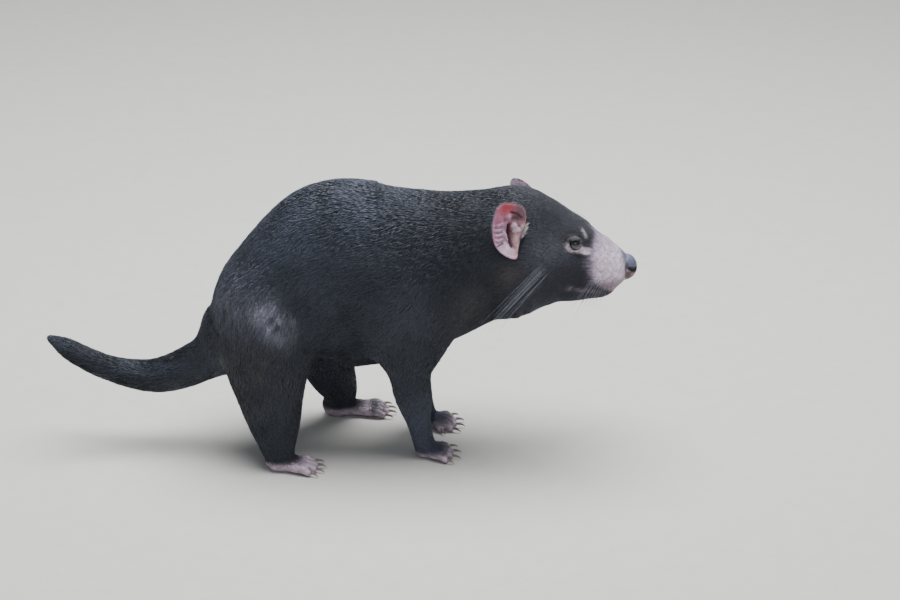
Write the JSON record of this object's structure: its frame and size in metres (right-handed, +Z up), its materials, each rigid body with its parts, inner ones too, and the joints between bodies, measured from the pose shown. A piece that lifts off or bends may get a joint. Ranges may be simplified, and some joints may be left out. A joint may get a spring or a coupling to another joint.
{
  "type": "tasmanian devil",
  "caption": "Life-size still model of an adult Tasmanian devil, standing on all four feet with an arched back, head level and the tail held out behind.",
  "frame": {"origin": "on the floor, under the middle of the animal's bounding box", "axes": "+X from the tail to the nose, +Y to the animal's left, +Z up"},
  "size_m": [0.6526, 0.195, 0.309],
  "materials": {
    "fur": "short dense blue-black fur",
    "bare_skin": "bare purple-pink skin with dark tops",
    "ear_skin": "thin, nearly bare pink skin",
    "nose": "moist slate-grey skin",
    "eye": "wet, very dark",
    "claw": "pale horn, satin"
  },
  "bodies": {
    "root": {"ear_left": "ear_skin", "ear_right": "ear_skin", "eye_left": "eye", "eye_right": "eye", "front_left_claw_1": "claw", "front_left_claw_2": "claw", "front_left_claw_3": "claw", "front_left_claw_4": "claw", "front_left_claw_5": "claw", "front_left_forearm": "fur", "front_left_paw": "bare_skin", "front_left_upper_arm": "fur", "front_right_claw_1": "claw", "front_right_claw_2": "claw", "front_right_claw_3": "claw", "front_right_claw_4": "claw", "front_right_claw_5": "claw", "front_right_forearm": "fur", "front_right_paw": "bare_skin", "front_right_upper_arm": "fur", "head": "fur", "hind_left_claw_1": "claw", "hind_left_claw_2": "claw", "hind_left_claw_3": "claw", "hind_left_claw_4": "claw", "hind_left_foot": "bare_skin", "hind_left_shank": "fur", "hind_left_thigh": "fur", "hind_right_claw_1": "claw", "hind_right_claw_2": "claw", "hind_right_claw_3": "claw", "hind_right_claw_4": "claw", "hind_right_foot": "bare_skin", "hind_right_shank": "fur", "hind_right_thigh": "fur", "lower_jaw": "fur", "neck": "fur", "nose": "nose", "tail_base": "fur", "tail_middle": "fur", "tail_tip": "fur", "torso": "fur"}
  },
  "joints": []
}
